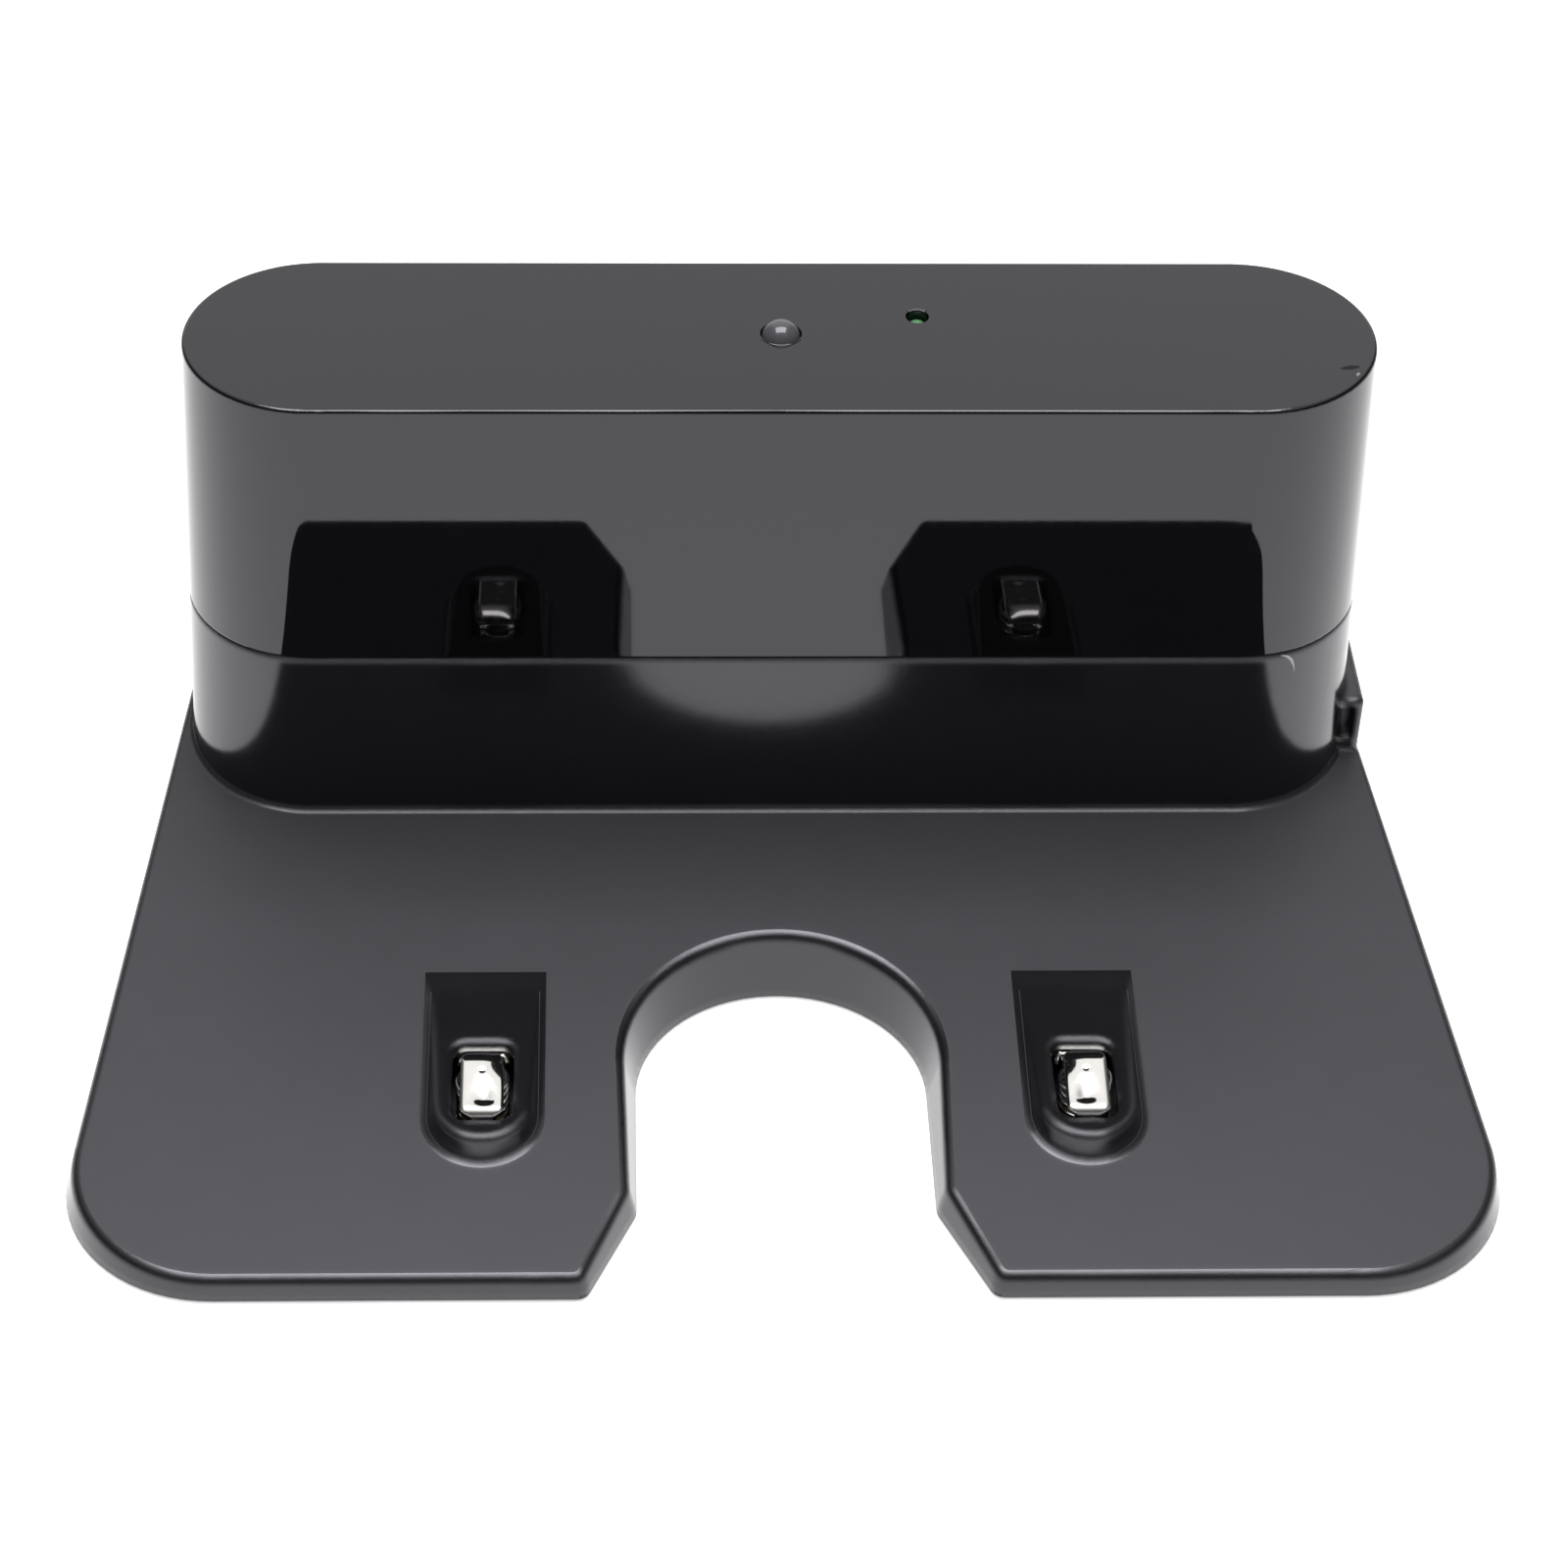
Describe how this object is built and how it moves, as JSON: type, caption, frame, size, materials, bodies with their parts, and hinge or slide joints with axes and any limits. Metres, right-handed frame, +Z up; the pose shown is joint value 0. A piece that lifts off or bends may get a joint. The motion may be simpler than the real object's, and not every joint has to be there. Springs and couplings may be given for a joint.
{
  "type": "robot vacuum charging dock",
  "caption": "Black charging dock for a robot vacuum: sloped ramp plate with a caster notch, sprung nickel contacts, and a smooth rounded signal tower at the rear.",
  "frame": {"origin": "middle of the footprint on the floor, under the feet", "axes": "+Z up, -Y towards the robot's approach side, +X to the right seen from the front"},
  "size_m": [0.1792, 0.114, 0.0787],
  "materials": {
    "satin_black_plastic": "satin",
    "gloss_black_plastic": "gloss",
    "matte_black_plastic": "matte",
    "foot_rubber": "matte",
    "nickel_plate": "polished",
    "spring_steel": "satin",
    "terminal_brass": "satin",
    "lead_red": "satin",
    "lead_black": "satin",
    "board_laminate": "satin",
    "emitter_epoxy": "gloss",
    "smoked_epoxy": "gloss",
    "green_epoxy": "gloss",
    "screw_steel": "satin"
  },
  "bodies": {
    "dock": {"base_housing": "satin_black_plastic", "top_cover": "gloss_black_plastic", "bottom_cover": "matte_black_plastic", "foot_front_left": "foot_rubber", "foot_front_right": "foot_rubber", "foot_rear_left": "foot_rubber", "foot_rear_right": "foot_rubber", "contact_spring_left": "spring_steel", "contact_spring_right": "spring_steel", "contact_terminal_left": "terminal_brass", "contact_terminal_right": "terminal_brass", "contact_lead_left": "lead_red", "contact_lead_right": "lead_black", "jack_lead": "lead_black", "circuit_board": "board_laminate", "ir_emitter_left": "emitter_epoxy", "ir_emitter_right": "emitter_epoxy", "halo_emitter_led": "smoked_epoxy", "status_led": "green_epoxy", "dc_jack": "matte_black_plastic", "cover_screws": "screw_steel", "bottom_screws": "screw_steel"},
    "left_contact": {"contact_left": "nickel_plate"},
    "right_contact": {"contact_right": "nickel_plate"}
  },
  "joints": [
    {"name": "left_contact_press", "type": "slide", "parent": "dock", "child": "left_contact", "axis": [0, 0, -1], "range_m": [0, 0.0018], "stiffness_N_per_m": 400, "springref_m": -0.001, "deforming": ["contact_spring_left"]},
    {"name": "right_contact_press", "type": "slide", "parent": "dock", "child": "right_contact", "axis": [0, 0, -1], "range_m": [0, 0.0018], "stiffness_N_per_m": 400, "springref_m": -0.001, "deforming": ["contact_spring_right"]}
  ]
}
